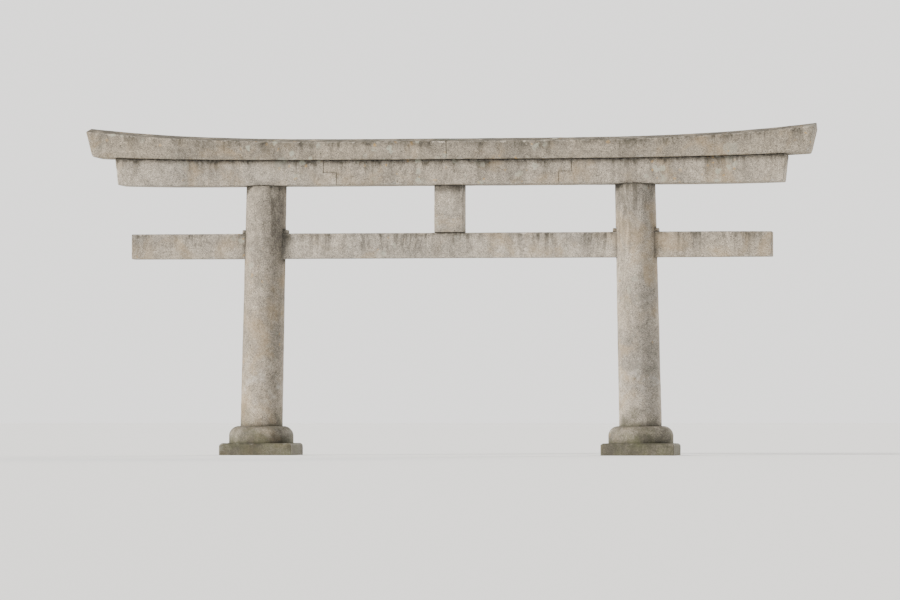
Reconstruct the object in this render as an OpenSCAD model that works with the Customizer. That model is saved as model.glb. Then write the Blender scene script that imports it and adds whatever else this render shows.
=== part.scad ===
// Stone torii gate. Two round pillars lean in towards each other and carry a
// stack of two lintels whose ends sweep up. A tie beam in three stones runs
// through both pillars, is held by wedges, and carries a strut at mid span.
// Millimetres, +Z up. The origin is on the ground midway between the pillars,
// with +X to the right and the front facing -Y.

/* [Pillars] */
// Distance between the pillar centres at their heads
head_spacing = 4560; // [4300:10:4800]
// Diameter of a pillar at its head
head_d = 500; // [470:5:530]
// Diameter of a pillar at ground level
foot_d = 530; // [505:5:560]
// Inward lean of each pillar, in degrees
lean = 1.2; // [0.6:0.1:1.8]
// Side of the square tenon on a pillar's head
head_tenon_w = 160; // [120:5:200]
// Height of the tenon on a pillar's head
head_tenon_h = 90; // [60:5:110]

/* [Base] */
// Side of the square plinth under a pillar
plinth_w = 900; // [860:10:1000]
// Height of the plinth
plinth_h = 150; // [130:5:200]
// Chamfer round the top of the plinth
plinth_chamfer = 22; // [10:1:30]
// Depth to which a pillar's foot is let into its plinth
foot_socket = 60; // [30:5:90]
// Diameter of the rounded collar round a pillar's foot
collar_d = 800; // [780:10:830]
// Height of the collar
collar_h = 210; // [180:5:260]
// Radius of the collar's rounded shoulder
collar_round = 125; // [90:5:130]

/* [Tie beam] */
// Height of the tie beam's underside
tie_z = 2410; // [2300:10:2450]
// Height of the tie beam's face
tie_h = 315; // [290:5:335]
// Thickness of the tie beam from front to back
tie_t = 210; // [190:5:230]
// Length of the tie beam past each pillar's centre line at its head
tie_overhang = 1680; // [1500:10:1780]
// Length of the half lap inside each pillar
tie_lap = 140; // [100:10:180]

/* [Wedges] */
// Thickness of a wedge at the pillar's face
wedge_head_h = 44; // [36:1:55]
// Thickness of a wedge at the pillar's centre
wedge_tip_h = 22; // [15:1:30]
// How far a wedge stands out of the pillar
wedge_proud = 28; // [15:1:45]
// Width of a wedge from front to back
wedge_w = 190; // [160:2:190]

/* [Centre strut] */
// Width of the strut across the front
strut_w = 366; // [330:2:400]
// Thickness of the strut from front to back
strut_t = 250; // [220:5:280]
// Height of the tenon at each end of the strut
strut_tenon_h = 40; // [25:5:55]
// Share of the strut's section that its tenons take
strut_tenon_share = 0.4; // [0.3:0.05:0.5]

/* [Second lintel] */
// Height of the second lintel's underside, where the pillars carry it
lintel_z = 3305; // [3250:5:3400]
// Height of the second lintel at mid span
second_h = 306; // [280:2:330]
// Thickness of the second lintel at its underside
second_foot_t = 470; // [440:5:490]
// Thickness of the second lintel at its top
second_head_t = 510; // [495:5:540]
// Length of the second lintel past each pillar's centre line
second_overhang = 1860; // [1700:10:1960]
// Slant of the second lintel's end faces, in degrees
second_rake = 6; // [0:1:10]
// Distance of each joint in the second lintel from mid span
second_joint_x = 1450; // [1200:10:1600]
// Length of each half lap in the second lintel
second_lap = 160; // [120:10:200]
// Height by which the underside rises at the lintel's ends
soffit_rise = 34; // [15:1:50]

/* [Top lintel] */
// Height of the top lintel at mid span, from its bed to its ridge
top_h = 275; // [250:5:300]
// Thickness of the top lintel at its underside
top_foot_t = 610; // [580:5:640]
// Thickness of the top lintel across its eaves
top_eave_t = 690; // [660:5:730]
// Height of the ridge over the eaves
eave_drop = 55; // [35:1:75]
// Length of the top lintel past each pillar's centre line
top_overhang = 2220; // [2080:10:2320]
// Slant of the top lintel's end faces, in degrees
top_rake = 13; // [6:1:18]
// Height by which the bed rises at the top lintel's tips
bed_rise = 62; // [40:1:80]
// Height by which the ridge rises at the top lintel's tips
ridge_rise = 155; // [110:1:190]
// Distance from mid span at which the lintels start to sweep up
sweep_start = 600; // [300:10:1000]

/* [Lintel keys] */
// Length of each dovetailed key across the joint of the top lintel
key_l = 240; // [200:5:280]
// Width of a key at its ends
key_end_w = 84; // [75:1:95]
// Width of a key at its waist
key_waist_w = 46; // [36:1:56]
// Depth of a key
key_h = 45; // [30:1:60]
// Distance of each key from the ridge
key_y = 165; // [130:5:190]

/* [Joints and arrises] */
// Chamfer along the long edges of the dressed stones
arris = 9; // [5:1:12]
// Joint between two stones that meet end to end or bed on a curve
joint = 0.4; // [0.3:0.1:0.8]
// Clearance round a tenon, or round the tie beam in its mortise
slip = 3; // [2:0.5:5]
// Clearance between a pillar and the collar or socket round its foot
foot_slip = 4; // [3:0.5:6]

/* [Hidden] */

$fn = 96;
granite = [0.63, 0.61, 0.57];
granite_dark = [0.52, 0.50, 0.47];
bronze = [0.33, 0.38, 0.30];
// Spacing of the sections along the swept lintels
section_step = 100;
// Exponent of the sweep: the ends turn up late and softly
sweep_power = 3;
// How far a cutting body reaches past the stone that it cuts
over = 50;
// Distance that keeps the flat part of the underside clear of the pillars' heads
seat_margin = 70;
// Space left between the tips of two wedges that are driven towards each other
wedge_tip_gap = 40;
// Face of the roof slopes on the top lintel, as an angle
roof_slope = atan(eave_drop / (top_eave_t / 2));

tie_top = tie_z + tie_h;
bed_mid_z = lintel_z + second_h;
ridge_mid_z = bed_mid_z + top_h;
top_half = head_spacing / 2 + top_overhang;
second_half = head_spacing / 2 + second_overhang;
tie_half = head_spacing / 2 + tie_overhang;
soffit_start = head_spacing / 2 + head_d / 2 + seat_margin;

// Distance of a pillar's axis from the gate's centre at height z
function axis_x(z) = head_spacing / 2 + (lintel_z - z) * tan(lean);
// Diameter of a pillar at height z
function pillar_d(z) = head_d + (foot_d - head_d) * (lintel_z - z) / lintel_z;
// Height gained by a lintel's edge at x, reaching rise at the tips
function sweep(x, rise, start) =
    rise * pow(max(0, abs(x) - start) / (top_half - start), sweep_power);
function soffit_z(x) = lintel_z + sweep(x, soffit_rise, soffit_start);
function bed_z(x) = bed_mid_z + sweep(x, bed_rise, sweep_start);
function ridge_z(x) = ridge_mid_z + sweep(x, ridge_rise, sweep_start);
// Places of the sections along a lintel that reaches half_length each way
function stations(half_length) =
    let (count = ceil(half_length / section_step))
    [for (i = [-count:count]) half_length * i / count];
// A rectangle centred on the origin with its corners cut off
function cut_corners(w, h, c) = [
    [-w / 2 + c, -h / 2], [w / 2 - c, -h / 2], [w / 2, -h / 2 + c], [w / 2, h / 2 - c],
    [w / 2 - c, h / 2], [-w / 2 + c, h / 2], [-w / 2, h / 2 - c], [-w / 2, -h / 2 + c]
];

// Cross-sections at x, listed anticlockwise as seen from +X
function second_section(x) =
    let (b = second_foot_t / 2, t = second_head_t / 2, low = soffit_z(x), high = bed_z(x))
    [
        [x, -b + arris, low], [x, b - arris, low], [x, b, low + arris], [x, t, high - arris],
        [x, t - arris, high], [x, -t + arris, high], [x, -t, high - arris], [x, -b, low + arris]
    ];
function top_section(x) =
    let (
        b = top_foot_t / 2,
        e = top_eave_t / 2,
        low = bed_z(x) + joint,
        ridge = ridge_z(x),
        eave = ridge - eave_drop
    )
    [
        [x, -b + arris, low], [x, b - arris, low], [x, b, low + arris],
        [x, e, eave - arris], [x, e - arris, eave + arris * tan(roof_slope)], [x, 0, ridge],
        [x, -e + arris, eave + arris * tan(roof_slope)], [x, -e, eave - arris], [x, -b, low + arris]
    ];

// Solid through a row of rings that have the same number of corners
module loft(rings) {
    n = len(rings[0]);
    last = (len(rings) - 1) * n;
    sides = [
        for (i = [0:len(rings) - 2], j = [0:n - 1])
        let (a = i * n + j, b = i * n + (j + 1) % n)
        each [[a, a + n, b], [b, a + n, b + n]]
    ];
    caps = [[for (j = [0:n - 1]) j], [for (j = [n - 1:-1:0]) last + j]];
    polyhedron(points = [for (ring = rings) each ring], faces = concat(sides, caps), convexity = 6);
}

// Body with the given outline in the front view, running the given distance front to back
module across(outline, depth) {
    rotate([90, 0, 0]) translate([0, 0, -depth / 2]) linear_extrude(depth) polygon(outline);
}

// Front outline of the middle stone of a beam in three stones: its upper half
// laps out over its neighbours at both ends
function middle_outline(joint_x, lap, low, mid, high) =
    let (inner = joint_x - lap / 2 - joint / 2, outer = joint_x + lap / 2 - joint / 2)
    [
        [-inner, low], [inner, low], [inner, mid], [outer, mid],
        [outer, high], [-outer, high], [-outer, mid], [-inner, mid]
    ];
// Front outline of the right-hand stone, whose end face runs from tip_low to tip_high
function end_outline(joint_x, lap, low, mid, high, tip_low, tip_high) =
    let (inner = joint_x - lap / 2 + joint / 2, outer = joint_x + lap / 2 + joint / 2)
    [
        [inner, low], [tip_low, low], [tip_high, high],
        [outer, high], [outer, mid], [inner, mid]
    ];

// Pillar as one leaning, tapering shaft with no ends cut yet
module shaft(slip = 0) {
    low = -over;
    high = lintel_z + over;
    translate([axis_x(low), 0, low])
        rotate([0, -lean, 0])
        cylinder(h = (high - low) / cos(lean), d1 = pillar_d(low) + 2 * slip, d2 = pillar_d(high) + 2 * slip);
}

// Slot over the tie beam in which two wedges meet: deepest at the pillar's faces
function wedge_h(dx) =
    wedge_tip_h + (wedge_head_h - wedge_tip_h) * abs(dx) / (pillar_d(tie_top) / 2);
module wedge_slot() {
    reach = pillar_d(tie_top) / 2 + over;
    translate([axis_x(tie_top), 0, tie_top])
        across([
            [-reach, -1], [reach, -1], [reach, wedge_h(reach)], [0, wedge_h(0)], [-reach, wedge_h(reach)]
        ], wedge_w + 2 * slip);
}

module right_pillar_body() {
    foot_z = plinth_h - foot_socket;
    head_x = axis_x(lintel_z);
    color(granite)
    difference() {
        union() {
            intersection() {
                shaft();
                translate([0, -foot_d, foot_z])
                    cube([axis_x(0) + foot_d, 2 * foot_d, lintel_z - foot_z]);
            }
            translate([head_x - head_tenon_w / 2, -head_tenon_w / 2, lintel_z - over])
                cube([head_tenon_w, head_tenon_w, head_tenon_h + over]);
        }
        translate([head_x - head_d, -tie_t / 2 - slip, tie_z])
            cube([2 * head_d, tie_t + 2 * slip, tie_h]);
        wedge_slot();
    }
}

// Wedge on the outer side of the right-hand pillar when out is 1, on the inner side when it is -1
module wedge(out) {
    near = wedge_tip_gap / 2;
    far = pillar_d(tie_top) / 2 + wedge_proud;
    color(granite_dark)
    translate([axis_x(tie_top), 0, tie_top])
        across([
            [out * near, 0], [out * far, 0],
            [out * far, wedge_h(far) - joint], [out * near, wedge_h(near) - joint]
        ], wedge_w);
}

module right_plinth_body() {
    profile = [
        [-plinth_w / 2, 0], [plinth_w / 2, 0], [plinth_w / 2, plinth_h - plinth_chamfer],
        [plinth_w / 2 - plinth_chamfer, plinth_h], [-plinth_w / 2 + plinth_chamfer, plinth_h],
        [-plinth_w / 2, plinth_h - plinth_chamfer]
    ];
    color(granite_dark)
    translate([axis_x(plinth_h), 0, 0])
        difference() {
            intersection() {
                across(profile, plinth_w);
                rotate([0, 0, 90]) across(profile, plinth_w);
            }
            translate([0, 0, plinth_h - foot_socket])
                cylinder(h = foot_socket + over, d = pillar_d(plinth_h - foot_socket) + 2 * foot_slip);
        }
}

// Half of the right-hand collar: the back half when side is 1, the front half when it is -1
module collar_half(side) {
    r = collar_d / 2;
    color(granite_dark)
    difference() {
        translate([axis_x(plinth_h), 0, plinth_h])
            intersection() {
                rotate_extrude() collar_profile(r);
                translate([-r - over, side > 0 ? joint / 2 : -r - over - joint / 2, -over])
                    cube([2 * (r + over), r + over, collar_h + 2 * over]);
            }
        shaft(foot_slip);
    }
}

// Upright rim with a rounded shoulder over it, out to radius r
module collar_profile(r) {
    square([r - collar_round, collar_h]);
    square([r, collar_h - collar_round]);
    intersection() {
        translate([r - collar_round, collar_h - collar_round]) circle(collar_round);
        square([r, collar_h]);
    }
}

module tie_bar() {
    translate([-tie_half, 0, tie_z + tie_h / 2])
        rotate([90, 0, 90])
        linear_extrude(2 * tie_half)
        polygon(cut_corners(tie_t, tie_h, arris));
}
module tie_middle() {
    mid = tie_z + tie_h / 2;
    color(granite)
    difference() {
        intersection() {
            tie_bar();
            across(middle_outline(axis_x(mid), tie_lap, tie_z - over, mid, tie_top + over), tie_t + over);
        }
        strut_tenon(tie_top - strut_tenon_h, slip);
    }
}
module tie_right() {
    mid = tie_z + tie_h / 2;
    end_x = tie_half + over;
    color(granite)
    intersection() {
        tie_bar();
        across(
            end_outline(axis_x(mid), tie_lap, tie_z - over, mid, tie_top + over, end_x, end_x),
            tie_t + over
        );
    }
}

// Tenon of the centre strut with its lower face at z, or its socket when grown by a clearance
module strut_tenon(z, grow = 0) {
    w = strut_w * strut_tenon_share + 2 * grow;
    t = strut_t * strut_tenon_share + 2 * grow;
    translate([-w / 2, -t / 2, z - grow]) cube([w, t, strut_tenon_h + 2 * grow]);
}
module strut() {
    color(granite)
    union() {
        translate([0, 0, tie_top])
            linear_extrude(lintel_z - tie_top)
            polygon(cut_corners(strut_w, strut_t, arris));
        strut_tenon(tie_top - strut_tenon_h);
        strut_tenon(lintel_z);
    }
}

module second_bar() {
    loft([for (x = stations(second_half + over)) second_section(x)]);
}
module second_middle() {
    mid = lintel_z + second_h / 2;
    color(granite)
    difference() {
        intersection() {
            second_bar();
            across(
                middle_outline(second_joint_x, second_lap, lintel_z - over, mid, ridge_mid_z),
                second_head_t + over
            );
        }
        strut_tenon(lintel_z, slip);
    }
}
module second_right() {
    low = lintel_z - over;
    high = ridge_mid_z;
    mid = lintel_z + second_h / 2;
    end_z = bed_z(second_half);
    head_x = axis_x(lintel_z);
    socket_w = head_tenon_w + 2 * slip;
    color(granite)
    difference() {
        intersection() {
            second_bar();
            across(
                end_outline(
                    second_joint_x, second_lap, low, mid, high,
                    second_half - (end_z - low) * tan(second_rake),
                    second_half - (end_z - high) * tan(second_rake)
                ),
                second_head_t + over
            );
        }
        translate([head_x - socket_w / 2, -socket_w / 2, low])
            cube([socket_w, socket_w, lintel_z - low + head_tenon_h + slip]);
    }
}

module top_right() {
    low = bed_mid_z - over;
    tip_z = ridge_z(top_half);
    high = tip_z + over;
    color(granite)
    difference() {
        intersection() {
            loft([for (x = stations(top_half + over)) top_section(x)]);
            across([
                [joint / 2, low], [top_half - (tip_z - low) * tan(top_rake), low],
                [top_half - (tip_z - high) * tan(top_rake), high], [joint / 2, high]
            ], top_eave_t + over);
        }
        key_recess(1);
        key_recess(-1);
    }
}

// Puts its children on the roof slope, at a key's place: behind the ridge when side is 1,
// in front of it when side is -1
module on_slope(side) {
    translate([0, side * key_y, ridge_mid_z - key_y * tan(roof_slope)])
        rotate([-side * roof_slope, 0, 0])
        children();
}
// Outline of a dovetailed key, grown by a clearance for the recess that it lies in
function key_outline(grow = 0) =
    let (half = key_l / 2 + grow, end = key_end_w / 2 + grow, waist = key_waist_w / 2 + grow)
    [[-half, -end], [0, -waist], [half, -end], [half, end], [0, waist], [-half, end]];
module key(side) {
    color(bronze)
    on_slope(side)
        translate([0, 0, -key_h])
        linear_extrude(key_h)
        polygon(key_outline());
}
module key_recess(side) {
    depth = key_h + joint;
    on_slope(side)
        translate([0, 0, -depth])
        linear_extrude(depth + over)
        polygon(key_outline(joint));
}

// Shows its children on the left-hand side of the gate
module on_left() {
    mirror([1, 0, 0]) children();
}

on_left() right_plinth_body();  // left_plinth
right_plinth_body();  // right_plinth
on_left() collar_half(-1);  // left_collar_front
on_left() collar_half(1);  // left_collar_back
collar_half(-1);  // right_collar_front
collar_half(1);  // right_collar_back
on_left() right_pillar_body();  // left_pillar
right_pillar_body();  // right_pillar
on_left() tie_right();  // tie_beam_left
tie_middle();  // tie_beam_middle
tie_right();  // tie_beam_right
on_left() wedge(1);  // left_outer_wedge
on_left() wedge(-1);  // left_inner_wedge
wedge(-1);  // right_inner_wedge
wedge(1);  // right_outer_wedge
strut();  // centre_strut
on_left() second_right();  // second_lintel_left
second_middle();  // second_lintel_middle
second_right();  // second_lintel_right
on_left() top_right();  // top_lintel_left
top_right();  // top_lintel_right
key(-1);  // front_lintel_key
key(1);  // back_lintel_key
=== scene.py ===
"""Weathered granite torii gate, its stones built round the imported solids.

Metres, with +Z up and the front facing -Y.
"""

import itertools
import math

import bpy
import numpy as np
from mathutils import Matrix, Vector
from mathutils.bvhtree import BVHTree


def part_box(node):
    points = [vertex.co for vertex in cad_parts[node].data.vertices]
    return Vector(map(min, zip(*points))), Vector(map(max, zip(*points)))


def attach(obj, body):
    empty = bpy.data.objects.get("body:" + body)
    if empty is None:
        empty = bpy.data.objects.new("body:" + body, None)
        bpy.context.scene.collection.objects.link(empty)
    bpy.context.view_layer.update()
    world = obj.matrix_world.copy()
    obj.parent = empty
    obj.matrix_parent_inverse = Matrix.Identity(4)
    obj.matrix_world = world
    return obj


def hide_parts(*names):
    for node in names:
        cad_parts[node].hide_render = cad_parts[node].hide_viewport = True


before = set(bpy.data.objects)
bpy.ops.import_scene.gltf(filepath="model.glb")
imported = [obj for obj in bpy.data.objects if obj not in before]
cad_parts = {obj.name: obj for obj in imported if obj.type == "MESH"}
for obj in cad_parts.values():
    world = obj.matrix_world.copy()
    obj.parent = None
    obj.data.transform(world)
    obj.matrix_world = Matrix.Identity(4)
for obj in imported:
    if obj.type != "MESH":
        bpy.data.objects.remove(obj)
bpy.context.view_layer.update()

# Seed of each stone's weather
SEEDS = {
    "top_lintel_right": 11,
    "top_lintel_left": 23,
    "second_lintel_right": 37,
    "second_lintel_left": 41,
    "second_lintel_middle": 53,
    "tie_beam_right": 61,
    "tie_beam_left": 67,
    "tie_beam_middle": 71,
    "centre_strut": 83,
    "left_inner_wedge": 90,
    "left_outer_wedge": 91,
    "right_inner_wedge": 92,
    "right_outer_wedge": 93,
    "right_plinth": 101,
    "left_plinth": 107,
    "left_pillar": 127,
    "left_collar_back": 130,
    "left_collar_front": 133,
    "right_pillar": 139,
    "right_collar_back": 142,
    "right_collar_front": 145,
}
# Chips in the arrises of each kind of stone
CHIPS = {"top_lintel": 46, "second_lintel": 30, "tie_beam": 24, "strut": 7, "wedge": 5, "plinth": 22}
# Spacing of the grid lines along, across and up each kind of stone
STEPS = {
    "top_lintel": (0.0145, 0.023, 0.021),
    "second_lintel": (0.0155, 0.021, 0.021),
    "tie_beam": (0.018, 0.021, 0.021),
    "strut": (0.019, 0.019, 0.019),
    "wedge": (0.012, 0.012, 0.010),
    "plinth": (0.018, 0.018, 0.016),
}
# Height of a lintel's block while its arrises are rounded, before it is swept
BLOCK_HEIGHTS = {"top_lintel": 0.25, "second_lintel": 0.306}

# Grid lines

# Distances of extra lines from an edge, which keep its arris round
EDGE_LINES = (0.0, 0.005, 0.0095, 0.0145, 0.021, 0.032)
# The same at a joint, where a fine groove is worn, and as angles round a collar
SEAM_LINES = (0.0, 0.003, 0.007, 0.013, 0.022)
SEAM_TURNS = (0.0, 0.0075, 0.0175, 0.0325, 0.055)
# Lines along the top lintel that round its ridge
RIDGE_LINES = (-0.012, 0.0, 0.012)
# Extra lines near a wedge's thick end, sides, bed and top, and near a plinth's bed
WEDGE_END_LINES = (0.0, 0.003, 0.006, 0.010, 0.016)
WEDGE_SIDE_LINES = (0.0, 0.004, 0.008)
WEDGE_BED_LINES = (0.0, 0.004)
WEDGE_TOP_LINES = (0.0, 0.003, 0.007)
PLINTH_BED_LINES = (0.0, 0.006)
# Share of the spacing within which an extra line takes an even line's place
LINE_ROOM = 0.3
# Distance from a stone's end within which the extra lines of a lap are left out
LAP_ROOM = 0.03
# Decimals of the places of lines, and of the turns of those round a pillar
PLACES = 6
TURN_PLACES = 7

# Wear

# Size and depth of the lumps on a worn face, and the least thickness of a fully worn stone
WEATHER = ((0.55, 0.0026), (0.16, 0.0020), (0.055, 0.0014), (0.022, 0.0008))
FULLY_WORN = 0.12
# Radius of a worn arris, how much it varies, and the size and share of the lumps it varies with
ARRIS = 0.0145
ARRIS_VARIES = 0.010
ARRIS_LUMPS = ((0.21, 0.6), (0.06, 0.4))
# Value of those lumps at which the radius is ARRIS
ARRIS_MIDDLE = 0.35
# Distance over which the wear beside an arris fades
EDGE_FADES = 0.014
# A wedge's least radius, how much it varies, the size of its lumps, and how far its wear fades
WEDGE_ARRIS = 0.007
WEDGE_VARIES = 0.004
WEDGE_LUMPS = 0.03
WEDGE_FADES = 0.02
# Share of a roof's half width over which its ridge is worn round
RIDGE_WORN = 0.02
# Depth and reach of the groove worn at a joint
SEAM_DEPTH = 0.0035
SEAM_REACH = 0.005
# Chips: sizes, the scoop's radius and its depth at the arris as multiples of the size, and the
# reach over which its direction is averaged
CHIP_SIZES = (0.008, 0.032)
CHIP_RADII = (2.0, 4.5)
CHIP_DEPTH = 0.45
CHIP_LEVELLED = 0.03
# Size and share of the lumps left in a chip, their seed, and the depth from which it looks fresh
CHIP_LUMPS = 0.016
CHIP_ROUGH = 0.2
CHIP_SEED = 5
CHIP_FRESH = 0.004
# Edge marks below which a point is on a face, and above which it is on an arris
ON_FACE = 0.3
ON_ARRIS = 0.8
# Least part of a normal that must be free to move for its point to be worn
FREE = 0.2
# Rounds in which the points inside a joint's faces are spread evenly
RELAXINGS = 40
# Distances within which other stones darken a face with dirt and painted shade, over which that fades, and
# below which the face is bedded on them
NEAR = 0.11
NOOK_DIRT_AND_SHADE_FADES = 0.028
BEDDED = 0.0025
# Numbers that scramble the bits of a grid cell's place and of a seed
CELL_SHIFT = 4096
CELL_FACTORS = np.array((374761393, 668265263, 1442695041))
SEED_FACTOR = 97463477
LAST_FACTOR = 1274126177
WORD = 0xFFFFFFFF
LOW_BITS = 0xFFFFF

# Measuring

# Least part of a normal along an axis for a face to count as square to it
SQUARE = 0.9
# Distances outside a stone from which rays start, and how far in from an edge they run
OUTSIDE = 1
BESIDE = 2
MARGIN = 0.001
# Rays along a lintel, the place of the first, and how far past a joint the first one there is
RAYS = 90
FIRST_RAY = 0.01
PAST_JOINT = 0.004
# Distances of rays from the centre plane, beside the sockets and beside the ridge, and from a
# lintel's side at its shoulder
BESIDE_SOCKETS = 0.15
BESIDE_RIDGE = 0.0005
INSIDE_SHOULDER = 0.014
# Shares of a lintel's height at which its sides are measured, a quarter from its bed and its top
SIDE_SHARES = (0.25, 0.75)
# Depths below the tip at which a lintel's end is measured
END_DEPTHS = (0.06, 0.16)
# Share of a lintel's half length from which its sections lean towards the raked end, and rounds
# in which their lean and height are fitted to each other
RAKED_FROM = 0.75
LEANINGS = 3
# Heights at which a pillar is measured, above its collar and below the second lintel
SHAFT_HEIGHTS = (0.45, 3.25)

# Pillars and collars

# Spacing of a shaft's levels, and lines round it in half the slot and from mortise to front
SHAFT_STEP = 0.0145
SLOT_TURNS = 9
SHAFT_TURNS = 22
# Clearance beside the tie beam and the wedges, and above the wedges
CUT_BESIDE = 0.003
CUT_ABOVE = 0.001
# Rain streaks start afresh under the tie beam: how far down a stone they count as being there,
# and how many times the distance from the beam's middle half is added
SHELTERED = 0.12
SHELTER_GROWS = 7.0
# Gap between a collar and its pillar, and how far down a stone its top's streaks count as being
COLLAR_GAP = 0.004
COLLAR_DROP = 0.05
# Rays that measure a collar's section, where they start outside the pillar and above the foot,
# points of the section and down the bore, and angle between rings
COLLAR_RAYS = 40
COLLAR_INSIDE = 0.02
COLLAR_POINTS = 36
BORE_POINTS = 6
COLLAR_STEP = 0.03

# Finish

# Granites: tint, dark film, rain streaks' strength and reach, lichen and how high damp climbs
GRANITES = {
    "top_granite": ((0.94, 0.90, 0.82), 0.78, (0.85, 0.16), 0.75, 0.34),
    "beam_granite": ((1.0, 0.965, 0.90), 0.62, (0.80, 0.20), 0.55, 0.34),
    "shaft_granite": ((1.02, 0.985, 0.92), 0.50, (0.72, 0.85), 0.35, 0.62),
    "foot_granite": ((0.86, 0.83, 0.76), 0.62, (0.60, 0.20), 0.45, 0.52),
    "split_granite": ((0.84, 0.81, 0.75), 0.45, (0.40, 0.10), 0.20, 0.34),
}
# Granite's crystals: share from which each kind starts, its grey and its warmth
CRYSTALS = ((0.0, 0.07, 0.0), (0.09, 0.25, 0.03), (0.36, 0.40, 0.05), (0.84, 0.52, 0.06))
# How many times lighter a fresh face's grain is
FRESH = 1.25
# Granite's specular level
SPECULAR = 0.12
# Colours that stain the stone, two where they vary
IRON = (0.33, 0.235, 0.125)
SALT = (0.62, 0.60, 0.56)
SOOT = ((0.034, 0.032, 0.028), (0.088, 0.080, 0.062))
ALGAE = ((0.044, 0.043, 0.031), (0.082, 0.086, 0.046))
# Kinds of lichen: spots to a metre, share of the spots, strength and colour
LICHENS = (
    (4.0, 0.30, 0.55, (0.34, 0.345, 0.29)),
    (9.0, 0.42, 1.0, (0.42, 0.43, 0.35)),
    (15.0, 0.17, 0.85, (0.44, 0.27, 0.08)),
)
# Colours of bare bronze and of its crust
BRONZE = ((0.040, 0.029, 0.019), (0.086, 0.063, 0.038))
CRUST = ((0.046, 0.070, 0.055), (0.098, 0.138, 0.108))
# Width of the rounding on a key's edges, and its segments
KEY_ROUNDING = 0.004
KEY_SEGMENTS = 3

# Studio

# Lights: where each one shines from, its strength, its spread in degrees and its colour
LIGHTS = {
    "key_light": ((-14, -9, 10), 6.8, 18, (1.0, 0.94, 0.86)),
    "fill_light": ((12, -12, 5), 0.4, 60, (0.92, 0.96, 1.0)),
    "back_light": ((7, 12, 7), 2.6, 14, (1.0, 0.90, 0.76)),
}
LIGHTS_AIM = (0, 0, 1.5)
# Backdrop: its colour, and its strength, which grows as a direction runs further back
BACKDROP_COLOUR = (1.0, 0.985, 0.96)
BACKDROP = {"From Min": -0.4, "From Max": 0.9, "To Min": 0.36, "To Max": 1.76}
FLOOR_REACH = 400
FLOOR = {"Base Color": (0.745, 0.765, 0.785, 1), "Roughness": 0.95}
# Camera: its turn to the right of the front, distance, height, aim, lens and reach of sight
CAMERA_TURN = math.radians(8)
CAMERA_DISTANCE = 60
CAMERA_HEIGHT = 0.45
CAMERA_AIM = (0, 0, 1.9)
CAMERA_LENS = 196
CAMERA_SEES_TO = 2000

# Takes right-hand points to the left
MIRROR = np.array([-1, 1, 1])
# Order of a quad's corners that makes it face the other way
TURNED = [0, 3, 2, 1]
# Angle from which an edge is sharp
SHARP = math.radians(48)
FAR = 1e3
TINY = 1e-5
# Stands in for zero in a divisor
LEAST = 1e-12
KEYS = ("front_lintel_key", "back_lintel_key")


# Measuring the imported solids


def surface(node):
    """Search tree over a CAD node's faces"""
    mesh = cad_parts[node].data
    points = [v.co.copy() for v in mesh.vertices]
    return BVHTree.FromPolygons(points, [tuple(f.vertices) for f in mesh.polygons])


SURFACES = {node: surface(node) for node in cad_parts}
# Each node's lowest and highest corner
BOXES = {node: np.array(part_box(node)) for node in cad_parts}


def hit(node, start, way):
    """Where a ray from start first meets a node, or None"""
    return SURFACES[node].ray_cast(Vector(start), Vector(way))[0]


def curve(node, xs, y, start_z, way_z):
    """Heights at which upright rays at xs meet a node's level faces, drawn on in a straight line
    past them"""
    met = [SURFACES[node].ray_cast(Vector((x, y, start_z)), Vector((0, 0, way_z))) for x in xs]
    found = np.array([point is not None and abs(normal.z) > SQUARE for point, normal, _, _ in met])
    z = np.array([point.z if point is not None else 0.0 for point, _, _, _ in met])
    known = np.flatnonzero(found)
    for missing in np.flatnonzero(~found):
        a, b = (known[0], known[1]) if missing < known[0] else (known[-1], known[-2])
        z[missing] = z[a] + (z[b] - z[a]) * (xs[missing] - xs[a]) / (xs[b] - xs[a])
    return z


# Weathering


def hashed(cell, seed):
    """Repeatable number from 0 to 1 for each cell of a grid"""
    h = ((cell.astype(np.int64) + CELL_SHIFT) @ CELL_FACTORS + seed * SEED_FACTOR) & WORD
    h = ((h ^ (h >> 13)) * LAST_FACTOR) & WORD
    return ((h ^ (h >> 16)) & LOW_BITS) / LOW_BITS


def lumps(p, size, seed):
    """Smooth noise from 0 to 1 with lumps of a size"""
    q = p / size
    cell = np.floor(q)
    t = q - cell
    t = t * t * (3 - 2 * t)
    total = np.zeros(len(p))
    for corner in itertools.product((0, 1), repeat=3):
        weight = np.prod(np.where(corner, t, 1 - t), axis=1)
        total += weight * hashed(cell + corner, seed)
    return total


def unit(vectors):
    return vectors / np.maximum(np.linalg.norm(vectors, axis=1, keepdims=True), LEAST)


def normals(p, faces):
    """Unit normal at each point of a mesh of quads"""
    across = unit(np.cross(p[faces[:, 2]] - p[faces[:, 0]], p[faces[:, 3]] - p[faces[:, 1]]))
    total = np.zeros_like(p)
    for corner in range(4):
        for axis in range(3):
            total[:, axis] += np.bincount(faces[:, corner], across[:, axis], len(p))
    return unit(total)


def spacing(p, others):
    """How far each point lies from the given nodes, up to NEAR"""
    near = np.full(len(p), NEAR)
    for other in others:
        low, high = BOXES[other]
        for i in np.flatnonzero(np.all((p > low - NEAR) & (p < high + NEAR), axis=1)):
            found = SURFACES[other].find_nearest(Vector(p[i]), near[i])
            if found[3] is not None:
                near[i] = min(near[i], found[3])
    return near


def relaxed(p, faces, loose):
    """Points with the loose ones, which lie inside joint faces, spread evenly between the others"""
    pairs = np.concatenate([faces[:, [k, (k + 1) % 4]] for k in range(4)])
    a, b = pairs[np.isin(pairs[:, 0], loose)].T
    share = np.maximum(np.bincount(a, minlength=len(p)), 1)[:, None]
    for _ in range(RELAXINGS):
        total = np.stack([np.bincount(a, p[b, axis], len(p)) for axis in range(3)], axis=1)
        p[loose] = (total / share)[loose]
    return p


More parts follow.
